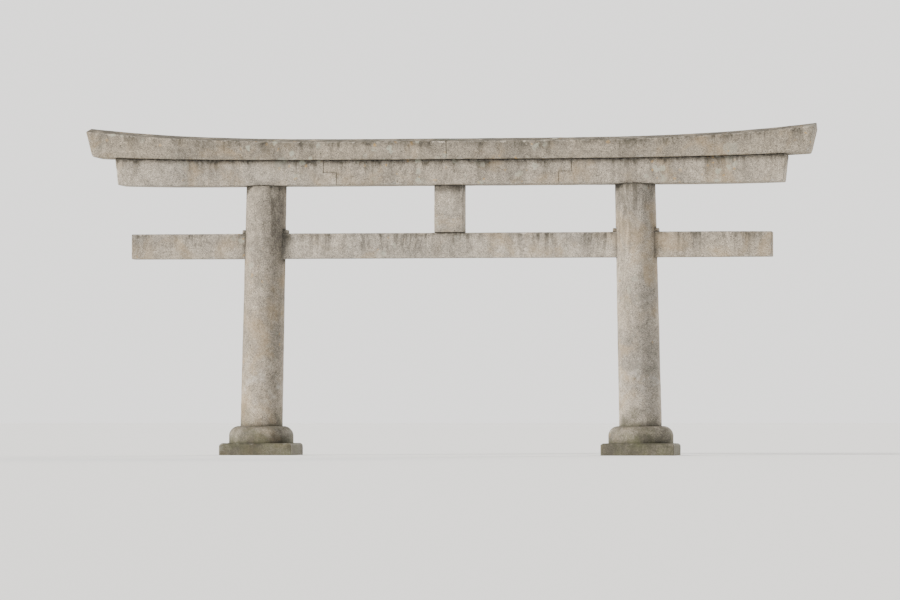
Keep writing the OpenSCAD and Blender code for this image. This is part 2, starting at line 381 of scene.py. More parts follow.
def worn(p, faces, out, near, edge, seam, pinned, seed):
    """Points worn inwards by weather, apart from bedded ones and along the axes that pin them"""
    depth = sum(d * lumps(p, size, seed + k) for k, (size, d) in enumerate(WEATHER))
    depth = depth * min(1, np.min(np.ptp(p, axis=0)) / FULLY_WORN) + SEAM_DEPTH * seam
    bedded = (near < BEDDED) & (edge < ON_FACE) & (np.max(abs(out), axis=1) > SQUARE)
    depth[bedded & ~np.any(pinned, axis=1)] = 0
    way = out * ~pinned
    size = np.linalg.norm(way, axis=1)
    inner = size < FREE
    way /= np.where(inner, np.inf, size)[:, None]
    loose = np.flatnonzero(inner & ~np.all(pinned, axis=1))
    return relaxed(p - way * depth[:, None], faces, loose)


def chipped(p, out, corners, count, rng):
    """Points with scoops knocked out of the arrises at the corners, and how deep each went"""
    p, depth = p.copy(), np.zeros(len(p))
    least, greatest = CHIP_SIZES
    for _ in range(count if len(corners) else 0):
        at = p[rng.choice(corners)]
        # The draw is cubed, so that most chips are small
        size = least + (greatest - least) * rng.random() ** 3
        radius = size * rng.uniform(*CHIP_RADII)
        beside = corners[np.sum((p[corners] - at) ** 2, axis=1) < CHIP_LEVELLED**2]
        way = np.mean(out[beside], axis=0)
        way /= np.linalg.norm(way)
        away = p - at - way * (radius - CHIP_DEPTH * size)
        room = radius**2 - np.sum(away * away, axis=1)
        inside = np.flatnonzero(room > 0)
        along = away[inside] @ way
        sunk = along + np.sqrt(along**2 + room[inside])
        sunk *= (1 - CHIP_ROUGH) + CHIP_ROUGH * lumps(p[inside], CHIP_LUMPS, CHIP_SEED)
        p[inside] -= sunk[:, None] * way
        depth[inside] = np.maximum(depth[inside], sunk)
    return p, depth


# Making the stones


def lines(start, end, step, at_start=(0.0,), at_end=(0.0,), through=()):
    """Grid lines from start to end, with extra ones near either end and at places to pass through"""
    stops = [start, *sorted(through), end]
    even = []
    for a, b in zip(stops, stops[1:]):
        even += list(np.linspace(a, b, max(1, round((b - a) / step)) + 1))
    extra = [start + d for d in at_start] + [end - d for d in at_end] + list(through)
    first, last = start + max(at_start), end - max(at_end)
    kept = [x for x in even if first < x < last and all(abs(x - e) > LINE_ROOM * step for e in extra)]
    return np.array(sorted({round(float(x), PLACES) for x in kept + extra}))


def middles(line):
    """Places halfway between neighbouring grid lines"""
    return (line[1:] + line[:-1]) / 2


def skin(solid):
    """Corner numbers of the outer faces of the solid cells, wound outwards"""
    counts = tuple(n + 1 for n in solid.shape)
    number = np.arange(np.prod(counts)).reshape(counts)
    padded = np.pad(solid, 1)
    quads = []
    for axis in range(3):
        cells, ids = np.moveaxis(padded, axis, 0), np.moveaxis(number, axis, 0)
        before, after = cells[:-1, 1:-1, 1:-1], cells[1:, 1:-1, 1:-1]
        for wall, turned in ((before & ~after, axis == 1), (after & ~before, axis != 1)):
            i, a, b = np.nonzero(wall)
            quad = [ids[i, a, b], ids[i, a + 1, b], ids[i, a + 1, b + 1], ids[i, a, b + 1]]
            quads.append(np.stack(quad[::-1] if turned else quad, axis=1))
    return np.concatenate(quads)


def grid(u, v, w, solid=None):
    """Points and outward quads of the skin of a block with the given grid lines"""
    if solid is None:
        solid = np.ones((len(u) - 1, len(v) - 1, len(w) - 1), bool)
    used, faces = np.unique(skin(solid), return_inverse=True)
    i, j, k = np.unravel_index(used, (len(u), len(v), len(w)))
    return np.stack([u[i], v[j], w[k]], axis=1), faces.reshape(-1, 4)


def drawn_in(p, core, radius):
    """Points at most the radius away from their core"""
    away = p - core
    reach = np.linalg.norm(away, axis=1, keepdims=True)
    return core + away * np.minimum(1, radius / np.maximum(reach, LEAST))


def rounded(node, p, low, high):
    """Points of a block's skin with its arrises worn round, and how close each is to an arris"""
    layers = enumerate(ARRIS_LUMPS, SEEDS[node])
    wear = sum(share * lumps(p, size, seed) for seed, (size, share) in layers)
    radius = (ARRIS + ARRIS_VARIES * (wear - ARRIS_MIDDLE))[:, None]
    core = np.clip(p, low + radius, high - radius)
    sides = np.sort(np.minimum(p - low, high - p), axis=1)
    edge = np.exp(-np.maximum(sides[:, 1], 0) / EDGE_FADES)
    return drawn_in(p, core, radius), edge


def outward(p, faces):
    """The faces, turned round if they face into the stone"""
    a, b, c, d = (p[faces[:, k]] for k in range(4))
    volume = np.sum(a * np.cross(b, c)) + np.sum(a * np.cross(c, d))
    return faces if volume > 0 else faces[:, ::-1]


def pins(x=False, y=False, z=False):
    """Table of the points that don't move along each axis"""
    return np.stack(np.broadcast_arrays(x, y, z), axis=1)


def seam_at(distance):
    """1 at a joint's edge, falling to 0 a little way along the face"""
    return np.exp(-((distance / SEAM_REACH) ** 2))


def added(name, data):
    """New object in the scene"""
    made = bpy.data.objects.new(name, data)
    bpy.context.scene.collection.objects.link(made)
    return made


def stone(node, p, faces, material, marks):
    """Makes the piece that stands for a node, with the marks as attributes of its points"""
    mesh = bpy.data.meshes.new(node)
    mesh.from_pydata(p.tolist(), [], faces.tolist())
    mesh.validate()
    for name, values in marks.items():
        mesh.attributes.new(name, "FLOAT", "POINT").data.foreach_set("value", values.astype(np.float32))
    mesh.shade_smooth()
    mesh.set_sharp_from_angle(angle=SHARP)
    mesh.materials.append(material)
    made = added(node + "_stone", mesh)
    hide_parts(node)
    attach(made, "root")


def piece(node, p, faces, material, pinned, edge, drop, seam=0.0, chips=0, family=()):
    """Weathers a stone's skin and makes its piece. pinned tells which points don't move along X, Y
    and Z. edge, drop and seam tell how close each point is to an arris, how far below the stone's
    top and how close to a joint. family names the stones that it is jointed to by seams"""
    rng = np.random.default_rng(SEEDS[node])
    edge, seam = np.broadcast_to(edge, len(p)), np.broadcast_to(seam, len(p))
    faces = outward(p, faces)
    out = normals(p, faces)
    near = spacing(p, [n for n in BOXES if n not in (node, *family, *KEYS)])
    p = worn(p, faces, out, near, edge, seam, pinned, SEEDS[node])
    p, broken = chipped(p, out, np.flatnonzero(edge * (1 - seam) > ON_ARRIS), chips, rng)
    beside = np.minimum(near, spacing(p, KEYS))
    marks = {"edge": edge, "drop": drop, "seam": seam}
    marks["chip"] = np.clip(broken / CHIP_FRESH, 0, 1)
    # Dirt and painted shade on faces close to other stones and the keys, fading with distance
    marks["nook_dirt_and_shade"] = np.exp(-beside / NOOK_DIRT_AND_SHADE_FADES) * (beside < NEAR)
    marks["tone"] = np.full(len(p), rng.random())
    stone(node, p, faces, material, marks)


# Materials


class Shader:
    """Nodes of one material, added one by one"""

    def __init__(self, name):
        self.material = bpy.data.materials.new(name)
        self.material.use_nodes = True
        self.tree = self.material.node_tree
        self.surface = self.tree.nodes["Principled BSDF"]
        self.place = self.add("ShaderNodeTexCoord").outputs["Object"]

    def add(self, kind, inputs=(), **settings):
        """New node with the given inputs"""
        made = self.tree.nodes.new(kind)
        for key, value in settings.items():
            setattr(made, key, value)
        for key in inputs:
            self.feed(made.inputs[key], inputs[key])
        return made

    def cover(self, inputs):
        """The material, its surface fed with the inputs"""
        for key in inputs:
            self.feed(self.surface.inputs[key], inputs[key])
        return self.material

    def feed(self, socket, value):
        """Links a socket, or sets its value"""
        if isinstance(value, bpy.types.NodeSocket):
            self.tree.links.new(value, socket)
        else:
            socket.default_value = value

    def math(self, operation, a, b=0.0, clamp=False):
        return self.add("ShaderNodeMath", {0: a, 1: b}, operation=operation, use_clamp=clamp).outputs[0]

    def product(self, *factors):
        """The factors, multiplied one after another"""
        total = factors[0]
        for factor in factors[1:]:
            total = self.math("MULTIPLY", total, factor)
        return total

    def vector(self, operation, inputs):
        return self.add("ShaderNodeVectorMath", inputs, operation=operation).outputs[0]

    def mix(self, factor, a, b, blend="MIX"):
        made = self.add("ShaderNodeMix", {0: factor, 6: a, 7: b}, data_type="RGBA", blend_type=blend)
        return made.outputs[2]

    def stained(self, factor, colour, stain):
        """The colour, mixed with an even one"""
        return self.mix(factor, colour, (*stain, 1))

    def tinted(self, colour, tint):
        """The colour, multiplied by an even one"""
        return self.mix(1.0, colour, (*tint, 1), "MULTIPLY")

    def toned(self, colour, value, stops):
        """The colour, multiplied by greys that follow the value"""
        return self.mix(1.0, colour, self.ramp(value, stops), "MULTIPLY")

    def spread(self, value, low, high, to_low=0.0, to_high=1.0):
        """value between low and high, stretched smoothly to the new range"""
        inputs = {"Value": value, "From Min": low, "From Max": high, "To Min": to_low, "To Max": to_high}
        return self.add("ShaderNodeMapRange", inputs, interpolation_type="SMOOTHSTEP").outputs["Result"]

    def stretched(self, scale, place=None):
        return self.add("ShaderNodeMapping", {"Vector": place or self.place, "Scale": scale}).outputs[0]

    def shaken(self, scale, reach):
        """The position, shifted by noise of the given scale"""
        noise = self.add("ShaderNodeTexNoise", {"Vector": self.place, "Scale": scale, "Detail": 3.0})
        shift = self.vector("SCALE", {0: noise.outputs["Color"], "Scale": reach})
        return self.vector("ADD", {0: self.place, 1: shift})

    def noise(self, scale, detail=4.0, rough=0.55, place=None, twist=0.0):
        inputs = {"Vector": place or self.place, "Scale": scale, "Detail": detail}
        inputs |= {"Roughness": rough, "Distortion": twist}
        return self.add("ShaderNodeTexNoise", inputs).outputs["Fac"]

    def cells(self, scale, place=None):
        """Cells, as many to a metre as the scale, each with its own colour"""
        return self.add("ShaderNodeTexVoronoi", {"Vector": place or self.place, "Scale": scale})

    def mark(self, name):
        """One of the marks on the stones' points"""
        return self.add("ShaderNodeAttribute", attribute_name=name).outputs["Fac"]

    def axis(self, vector, name):
        return self.add("ShaderNodeSeparateXYZ", {0: vector}).outputs[name]

    def ramp(self, value, stops, steps=False):
        """Colours that follow the value, blended between the stops or in steps"""
        made = self.add("ShaderNodeValToRGB", {0: value})
        ramp = made.color_ramp
        ramp.interpolation = "CONSTANT" if steps else "LINEAR"
        while len(ramp.elements) < len(stops):
            ramp.elements.new(0.5)
        for element, (at, colour) in zip(ramp.elements, stops):
            element.position = at
            element.color = (*colour, 1)
        return made.outputs["Color"]

    def between(self, value, low, high, colours):
        """Colour that goes from one to the other while the value goes from low to high"""
        return self.ramp(value, list(zip((low, high), colours)))

    def bump(self, height, distance, strength=1.0, normal=None):
        inputs = {"Height": height, "Distance": distance, "Strength": strength}
        if normal is not None:
            inputs["Normal"] = normal
        return self.add("ShaderNodeBump", inputs).outputs["Normal"]


def grey(value, warmth=0.0):
    """Grey with more red and less blue the warmer it is"""
    return (value * (1 + warmth), value, value * (1 - 1.4 * warmth))


def mineral(s):
    """Grain of granite at two sizes: its colour, and the crystals that its finest bumps follow"""
    crystals = s.axis(s.cells(230).outputs["Color"], "X")
    colour = s.ramp(crystals, [(at, grey(value, warmth)) for at, value, warmth in CRYSTALS], steps=True)
    clots = s.axis(s.cells(62).outputs["Color"], "Y")
    return s.toned(colour, clots, [(0.0, grey(0.78)), (1.0, grey(1.14))]), crystals


def aged(s, colour, tint):
    """Slow changes of tone, blotches, each stone's own tone, and yellow-brown bloom from iron"""
    colour = s.toned(colour, s.noise(1.1, 5, 0.62), [(0.34, grey(0.74)), (0.66, grey(1.16, 0.03))])
    colour = s.toned(colour, s.noise(9, 6, 0.66, twist=0.4), [(0.36, grey(0.76)), (0.60, grey(1.10))])
    colour = s.toned(colour, s.mark("tone"), [(0.0, grey(0.84, 0.03)), (1.0, grey(1.08, -0.01))])
    bloom = s.spread(s.noise(2.1, 5, 0.62, twist=0.6), 0.48, 0.70, 0.0, 0.42)
    return s.stained(bloom, s.tinted(colour, tint), IRON)


def streaked(s, upright, drop, reach):
    """Wide and narrow rain streaks on upright faces, which fade down a stone over the reach"""
    swayed = s.shaken(2.4, 0.16)
    wide = s.noise(1.0, 5, 0.62, s.stretched((3.6, 3.6, 0.45), swayed), 0.2)
    narrow = s.noise(1.0, 5, 0.68, s.stretched((19.0, 19.0, 1.1), swayed), 0.3)
    runs = s.product(s.spread(narrow, 0.43, 0.62), s.spread(wide, 0.36, 0.58))
    runs = s.math("ADD", runs, s.spread(wide, 0.46, 0.68, 0.0, 0.60), clamp=True)
    fading = s.math("EXPONENT", s.product(drop, -1.0 / reach))
    return s.product(runs, upright, s.spread(fading, 0.0, 1.0, 0.22, 1.0))


def grimed_and_nook_shaded(s, colour, film, streaks):
    """Dark film on faces that look up, in joints and in rain streaks, and dirt with painted shade in nooks
    """
    up = s.axis(s.add("ShaderNodeNewGeometry").outputs["Normal"], "Z")
    upright = s.math("SUBTRACT", 1.0, s.math("ABSOLUTE", up), clamp=True)
    drop = s.mark("drop")
    strength, reach = streaks
    runs = streaked(s, upright, drop, reach)
    lid = s.product(s.spread(up, 0.25, 0.85), s.spread(s.noise(3.6, 7, 0.70), 0.28, 0.60))
    rim = s.product(s.spread(drop, 0.10, 0.0), s.spread(s.noise(7, 5, 0.6), 0.36, 0.62))
    shares = [(runs, strength), (lid, film), (rim, 0.7 * film)]
    # Nooks beside other stones are darkened by dirt and by painted shade
    shares += [(s.mark("nook_dirt_and_shade"), 0.72), (s.mark("seam"), 0.9)]
    dark = 0.0
    for layer, share in shares:
        dark = s.math("ADD", dark, s.product(layer, share), clamp=True)
    return s.mix(s.product(dark, 0.9), colour, s.between(s.noise(16, 5, 0.6), 0.35, 0.65, SOOT))


def lichened(s, colour, lichen):
    """Lichen in loose colonies: pale crusts, pale rosettes and a few ochre ones"""
    colony = s.spread(s.noise(1.7, 3, 0.5), 0.50, 0.64)
    crumb = s.spread(s.noise(95, 3, 0.6), 0.30, 0.50)
    for scale, share, strength, stain in LICHENS:
        spots = s.cells(scale, s.shaken(2.2 * scale, 0.7 / scale))
        chosen = s.math("LESS_THAN", s.axis(spots.outputs["Color"], "X"), share)
        younger = s.product(s.axis(spots.outputs["Color"], "Y"), 0.24)
        disc = s.spread(s.math("ADD", spots.outputs["Distance"], younger), 0.45, 0.35)
        patch = s.product(s.product(chosen, disc), s.product(crumb, colony))
        colour = s.stained(s.product(patch, strength * lichen), colour, stain)
    return colour


def damped(s, colour, damp_to):
    """Damp and algae that climb from the ground, with salt dried on above them, and where it's damp"""
    waver = s.spread(s.noise(3.2, 6, 0.65), 0.2, 0.8, -0.22, 0.22)
    tide = s.math("ADD", s.axis(s.place, "Z"), waver)
    damp = s.spread(tide, damp_to, damp_to * 0.25)
    rising = s.spread(tide, damp_to * 0.85, damp_to * 1.25)
    falling = s.spread(tide, damp_to * 2.1, damp_to * 1.3)
    salt = s.product(rising, falling, s.spread(s.noise(7, 6, 0.65), 0.46, 0.70), 0.38)
    algae = s.between(s.noise(6, 5, 0.6), 0.4, 0.68, ALGAE)
    return s.mix(s.product(damp, 0.74), s.stained(salt, colour, SALT), algae), damp


def pitted(s, crystals):
    """Normal of a tooled face with lumps, tool marks, pits and grain"""
    lump = s.bump(s.noise(34, 5, 0.62), 0.0045, 0.65)
    tooled = s.bump(s.noise(1.0, 2, 0.5, s.stretched((150.0, 150.0, 22.0))), 0.0012, 0.5, lump)
    pits = s.spread(s.cells(88, s.shaken(26.0, 0.045)).outputs["Distance"], 0.10, 0.42)
    return s.bump(crystals, 0.0006, 0.45, s.bump(pits, 0.0018, 0.6, tooled))


def granite(name, tint, film, streaks, lichen, damp_to):
    """Weathered granite with the looks that GRANITES lists"""
    s = Shader(name)
    clean, crystals = mineral(s)
    colour = grimed_and_nook_shaded(s, aged(s, clean, tint), film, streaks)
    rubbed = s.product(s.mark("edge"), s.spread(s.noise(20, 4, 0.6), 0.42, 0.60, 0.0, 0.55))
    bare = s.math("MAXIMUM", rubbed, s.product(s.mark("chip"), 0.8))
    fresh = s.tinted(clean, [FRESH * t for t in tint])
    colour, damp = damped(s, lichened(s, s.mix(bare, colour, fresh), lichen), damp_to)
    rough = s.spread(damp, 0.0, 1.0, 0.90, 0.70)
    looks = {"Base Color": colour, "Roughness": rough, "Normal": pitted(s, crystals)}
    return s.cover(looks | {"Specular IOR Level": SPECULAR})


def patina():
    """Old bronze, brown where it is rubbed and green where it isn't"""
    s = Shader("patina")
    crumbs = s.spread(s.noise(190, 5, 0.7), 0.3, 0.7, -0.10, 0.10)
    patches = s.math("ADD", s.noise(38, 5, 0.62), crumbs)
    crust = s.spread(patches, 0.40, 0.60)
    metal = s.between(s.noise(60, 4, 0.6), 0.3, 0.7, BRONZE)
    green = s.between(s.noise(160, 5, 0.6), 0.3, 0.7, CRUST)
    rough = s.spread(crust, 0.0, 1.0, 0.48, 0.88)
    bare = s.spread(crust, 0.2, 0.8, 0.9, 0.0)
    looks = {"Base Color": s.mix(crust, metal, green), "Roughness": rough, "Metallic": bare}
    return s.cover(looks | {"Normal": s.bump(patches, 0.0016, 0.7)})


TOP, BEAM, SHAFT, FOOT, SPLIT = (granite(name, *looks) for name, looks in GRANITES.items())


# Lintels and tie beam


def softened(x, width):
    """Size of x, with the corner at zero rounded off"""
    return np.sqrt(x * x + width * width) - width


def swept(bed, ridge, eave, half_low, half_high, tip_x, tip_z, rake):
    """Function that takes block points (x, y, share of the height) into a lintel's swept shape and
    tells how far below its top they are. bed, ridge and eave give the heights along it"""

    def place(p):
        u, v, t = p[:, 0], p[:, 1] / half_high, p[:, 2]
        lean = np.clip((abs(u) / tip_x - RAKED_FROM) / (1 - RAKED_FROM), 0, 1)
        x = u
        for _ in range(LEANINGS):
            foot, high, side = bed(abs(x)), ridge(abs(x)), eave(abs(x))
            head = high - (high - side) * softened(abs(v), RIDGE_WORN)
            z = foot + t * (head - foot)
            x = u - np.sign(u) * lean * (tip_z - z) * rake
        half = half_low + (half_high - half_low) * t
        return np.stack([x, v * half, z], axis=1), (1 - t) * (head - foot)

    return place


def heights(stones, xs, y, start, way):
    """Heights at which upright rays at xs first meet a lintel's stones"""
    found = []
    for node in stones:
        low, high = BOXES[node]
        here = (xs > low[0] + PAST_JOINT) & (xs < high[0] + MARGIN)
        z = np.full(len(xs), np.nan)
        z[here] = curve(node, xs[here], y, start, way)
        found.append(z)
    return np.fmin.reduce(found) if way > 0 else np.fmax.reduce(found)


def measured(node, roofed=False):
    """A lintel's shape function, half width and tip, from rays against its right-hand stones"""
    low, high = BOXES[node]
    tip_x, half_high, tip_z = high
    xs = np.linspace(FIRST_RAY, tip_x - MARGIN, RAYS)
    stones = [n for n in (node, node.replace("right", "middle")) if n in BOXES]
    edge_y = half_high - INSIDE_SHOULDER
    bed = heights(stones, xs, BESIDE_SOCKETS, low[2] - OUTSIDE, 1)
    ridge = heights(stones, xs, BESIDE_RIDGE, tip_z + OUTSIDE, -1)
    shoulder = heights(stones, xs, edge_y, tip_z + OUTSIDE, -1)
    eave = ridge - (ridge - shoulder) * half_high / edge_y if roofed else ridge
    shapes = [lambda x, z=z: np.interp(x, xs, z) for z in (bed, ridge, eave)]

    # The sides are straight, so two rays give the half width at the bed and at the top
    at = 0.5 * (low[0] + high[0])
    foot, head = np.interp(at, xs, bed), np.interp(at, xs, eave)
    levels = [foot + share * (head - foot) for share in SIDE_SHARES]
    lower, upper = (hit(node, (at, BESIDE, z), (0, -1, 0)).y for z in levels)
    half_low, half_top = (3 * lower - upper) / 2, (3 * upper - lower) / 2

    ends = [hit(node, (tip_x + OUTSIDE, MARGIN, tip_z - d), (-1, 0, 0)).x for d in END_DEPTHS]
    rake = (ends[0] - ends[1]) / (END_DEPTHS[1] - END_DEPTHS[0])
    return swept(*shapes, half_low, half_top, tip_x, tip_z, rake), half_top, tip_x


def top_lintel():
    """Two halves of the roofed lintel, butted at mid span"""
    place, half, tip = measured("top_lintel_right", roofed=True)
    start = BOXES["top_lintel_right"][0][0]
    height = BLOCK_HEIGHTS["top_lintel"]
    step_x, step_y, step_z = STEPS["top_lintel"]
    u = lines(start, tip, step_x, SEAM_LINES, EDGE_LINES)
    v = lines(-half, half, step_y, EDGE_LINES, EDGE_LINES, RIDGE_LINES)
    w = lines(0, height, step_z, EDGE_LINES, EDGE_LINES)
    block, faces = grid(u, v, w)
    joint = block[:, 0] < start + TINY
    seam = seam_at(block[:, 0] - start)
    family = ("top_lintel_right", "top_lintel_left")
    for node in family:
        shaped, edge = rounded(node, block, (-FAR, -half, 0), (tip, half, height))
        shaped[:, 2] /= height
        p, drop = place(shaped)
        p[joint, 0] = start
        p = p * MIRROR if node == "top_lintel_left" else p
        piece(node, p, faces, TOP, pins(x=joint), edge, drop, seam, CHIPS["top_lintel"], family)


def lapped(name, place, half, height, tip):
    """Beam in three stones whose middle stone laps over its neighbours with its upper half"""
    left, middle, right = (f"{name}_{part}" for part in ("left", "middle", "right"))
    inner, outer = BOXES[right][0][0], BOXES[middle][1][0]
    starts = [((inner + outer) / 2, 0, BOXES[node][0][2] - OUTSIDE) for node in (middle, right)]
    under, foot = (hit(node, start, (0, 0, 1)).z for node, start in zip((middle, right), starts))
    mid = (under - foot) / (BOXES[middle][1][2] - foot) * height
    step_x, step_y, step_z = STEPS[name]
    levels = {mid + way * d for d in SEAM_LINES[:3] for way in (-1, 1)}
    v = lines(-half, half, step_y, EDGE_LINES, EDGE_LINES)
    w = lines(0, height, step_z, EDGE_LINES, EDGE_LINES, levels)
    laps = {x + way * d for x in (inner, outer) for d in SEAM_LINES[:4] for way in (-1, 1)}
    beside = lines(inner, tip, step_x, SEAM_LINES, EDGE_LINES, [x for x in laps if x > inner + LAP_ROOM])
    half_way = lines(0, outer, step_x, (0.0,), SEAM_LINES, [x for x in laps if x < outer - LAP_ROOM])

    def part(node, u, solid_at):
        x, _, z = np.meshgrid(middles(u), middles(v), middles(w), indexing="ij")
        block, faces = grid(u, v, w, solid_at(x, z))
        x, z = abs(block[:, 0]), block[:, 2]
        at_inner = np.hypot(x - inner, np.maximum(z - mid, 0))
        at_outer = np.hypot(x - outer, np.maximum(mid - z, 0))
        from_ends = np.minimum(at_inner, at_outer)
        from_lap = np.hypot(z - mid, np.maximum(np.maximum(inner - x, x - outer), 0))
        seam = seam_at(np.minimum(from_ends, from_lap))
        shaped, edge = rounded(node, block, (-tip, -half, 0), (tip, half, height))
        shaped[:, 2] /= height
        p, drop = place(shaped)
        p = p * MIRROR if node == left else p
        held = pins(x=from_ends < TINY, z=from_lap < TINY)
        piece(node, p, faces, BEAM, held, edge, drop, seam, CHIPS[name], (left, middle, right))

    for node in (right, left):
        part(node, beside, lambda x, z: (z < mid) | (x > outer))
    part(middle, np.append(-half_way[:0:-1], half_way), lambda x, z: (z > mid) | (abs(x) < inner))


def second_lintel():
    """Swept lintel that carries the top one"""
    place, half, tip = measured("second_lintel_right")
    lapped("second_lintel", place, half, BLOCK_HEIGHTS["second_lintel"], tip)


def tie_beam():
    """Straight beam, whose block has its real height from the start"""
    low, high = BOXES["tie_beam_right"]
    height = high[2] - low[2]

    def place(p):
        return np.stack([p[:, 0], p[:, 1], low[2] + p[:, 2] * height], axis=1), (1 - p[:, 2]) * height

    lapped("tie_beam", place, high[1], height, high[0])


# Strut, wedges and plinths


def centre_strut():
    """Post between the tie beam and the second lintel"""
    low, high = BOXES["centre_strut"]
    foot, head = BOXES["tie_beam_middle"][1][2], BOXES["second_lintel_middle"][0][2]
    step_x, step_y, step_z = STEPS["strut"]
    u = lines(low[0], high[0], step_x, EDGE_LINES, EDGE_LINES)
    v = lines(low[1], high[1], step_y, EDGE_LINES, EDGE_LINES)
    block, faces = grid(u, v, lines(foot, head, step_z, SEAM_LINES, SEAM_LINES))
    z = block[:, 2]
    seam = seam_at(np.minimum(z - foot, head - z))
    p, edge = rounded("centre_strut", block, (low[0], low[1], -FAR), (high[0], high[1], FAR))
    held = pins(z=(z < foot + TINY) | (z > head - TINY))
    piece("centre_strut", p, faces, BEAM, held, edge, head - z, seam, CHIPS["strut"])


def wedge(node):
    """Stone wedge, thickest at the end that stands out of the pillar"""
    low, high = BOXES[node]
    pillar_low, pillar_high = BOXES[node.split("_")[0] + "_pillar"]
    out = 1 if low[0] + high[0] > pillar_low[0] + pillar_high[0] else -1
    thick, thin = (high[0], low[0]) if out > 0 else (low[0], high[0])
    ends = (thick - out * MARGIN, thin + out * MARGIN)
    tall, short = (hit(node, (x, 0, high[2] + OUTSIDE), (0, 0, -1)).z - low[2] for x in ends)
    length = high[0] - low[0]
    step_x, step_y, step_z = STEPS["wedge"]
    u = lines(0, length, step_x, (0.0,), WEDGE_END_LINES)
    v = lines(low[1], high[1], step_y, WEDGE_SIDE_LINES, WEDGE_SIDE_LINES)
    w = lines(0, tall, step_z, WEDGE_BED_LINES, WEDGE_TOP_LINES)
    block, faces = grid(u, v, w)
    most = WEDGE_ARRIS + WEDGE_VARIES
    wear = WEDGE_ARRIS + WEDGE_VARIES * lumps(block, WEDGE_LUMPS, SEEDS[node])[:, None]
    core = np.clip(block, (-FAR, low[1] + most, -FAR), np.array((length, high[1], tall)) - wear)
    p = drawn_in(block, core, wear)
    height = (short + (tall - short) * (p[:, 0] / length)) / tall
    p = np.stack([thin + out * p[:, 0], p[:, 1], low[2] + p[:, 2] * height], axis=1)
    held = pins(x=block[:, 0] < TINY, z=block[:, 2] < TINY)
    edge = np.exp(-(length - block[:, 0]) / WEDGE_FADES)
    piece(node, p, faces, SPLIT, held, edge, tall - block[:, 2], chips=CHIPS["wedge"])


def wall_points(hollow, u, v, w, block):
    """Which points of a block's skin lie on the upright walls of a hollow"""
    padded = np.pad(hollow, ((1, 1), (1, 1), (0, 0)))
    beside = [padded[i:i + len(u), j:j + len(v)] for i in (0, 1) for j in (0, 1)]
    columns = np.any(np.any(beside, axis=0) & ~np.all(beside, axis=0), axis=2)
    i, j = np.searchsorted(u, block[:, 0] - TINY), np.searchsorted(v, block[:, 1] - TINY)
    return columns[i, j] & (block[:, 2] > w[np.argmax(np.any(hollow, axis=(0, 1)))] - TINY)


def plinth(node):
    """Square plinth whose top edges are chamfered, with a round socket for the pillar's foot"""
    low, high = BOXES[node]
    centre, half, height = (low + high) / 2, (high[0] - low[0]) / 2, high[2]
    under_top = hit(node, (centre[0] + BESIDE, centre[1], height - MARGIN), (-1, 0, 0)).x
    chamfer = half - (under_top - centre[0]) + MARGIN
    bottom = BOXES[node.replace("plinth", "pillar")][0][2]
    socket = hit(node, (centre[0], centre[1], (bottom + height) / 2), (0, 1, 0)).y - centre[1]
    step_x, _, step_z = STEPS["plinth"]
    flat = lines(-half, half, step_x, EDGE_LINES, EDGE_LINES)
    upright = lines(0, height, step_z, PLINTH_BED_LINES, EDGE_LINES, (bottom,))
    x, y, z = np.meshgrid(middles(flat), middles(flat), middles(upright), indexing="ij")
    hollow = (np.hypot(x, y) < socket) & (z > bottom)
    block, faces = grid(flat, flat, upright, ~hollow)
    p, edge = rounded(node, block, (-half, -half, -FAR), (half, half, height))

    # The chamfer draws in the top edges, and fades out over the outer quarter
    outer = np.clip(np.max(abs(p[:, :2]), axis=1) / half * 4 - 3, 0, 1)
    p[:, :2] *= (1 - outer * np.maximum(p[:, 2] - (height - chamfer), 0) / half)[:, None]

    # The socket's stepped rim is drawn onto its circle
    around = wall_points(hollow, flat, flat, upright, block)
    p[around, :2] *= socket / np.linalg.norm(p[around, :2], axis=1, keepdims=True)
    edge[np.hypot(block[:, 0], block[:, 1]) < half / 2] = 0
    p[:, :2] += centre[:2]
    held = pins(around, around, (block[:, 2] < TINY) | around)
    piece(node, p, faces, FOOT, held, edge, height - block[:, 2], chips=CHIPS["plinth"])


# Pillars and collars


def axis_of(node):
    """Functions for a pillar's centre and radius at height z"""
    low, high = BOXES[node]
    left = [hit(node, (low[0] - OUTSIDE, 0, z), (1, 0, 0)).x for z in SHAFT_HEIGHTS]
    right = [hit(node, (high[0] + OUTSIDE, 0, z), (-1, 0, 0)).x for z in SHAFT_HEIGHTS]
    centres = [(a + b) / 2 for a, b in zip(left, right)]
    radii = [(b - a) / 2 for a, b in zip(left, right)]

    def along(values, z):
        first, last = SHAFT_HEIGHTS
        return values[0] + (values[1] - values[0]) * (z - first) / (last - first)

    return lambda z: along(centres, z), lambda z: along(radii, z)


def ring_quads(rings, around):
    """Quads between neighbouring rings, as a table of rings by places round them"""
    i, k = np.meshgrid(np.arange(rings - 1), np.arange(around), indexing="ij")
    here, after = i * around + k, i * around + (k + 1) % around
    return np.stack([here, after, after + around, here + around], axis=2)


def through_walls(gone, turns):
    """Quads that join the outlines of the holes in a shaft's right-hand and left-hand sides"""
    around = len(turns)
    across = [int(np.argmin(abs((math.pi - t) % (2 * math.pi) - turns))) for t in turns]
    edges = {(int(q[a]), int(q[(a + 1) % 4])) for q in gone for a in range(4)}
    rim = sorted((a, b) for a, b in edges if (b, a) not in edges)
    opposite = [[v // around * around + across[v % around] for v in pair] for pair in rim]
    return np.array([(a, b, d, c) for (a, b), (c, d) in zip(rim, opposite)])


def lid(centre, first, around):
    """Fan of quads from a centre point to the ring of points that starts at first"""
    ring = np.arange(0, around, 2)
    rim = [first + ring, first + ring + 1, first + (ring + 2) % around]
    return np.stack([np.full(len(ring), centre), *rim], axis=1)


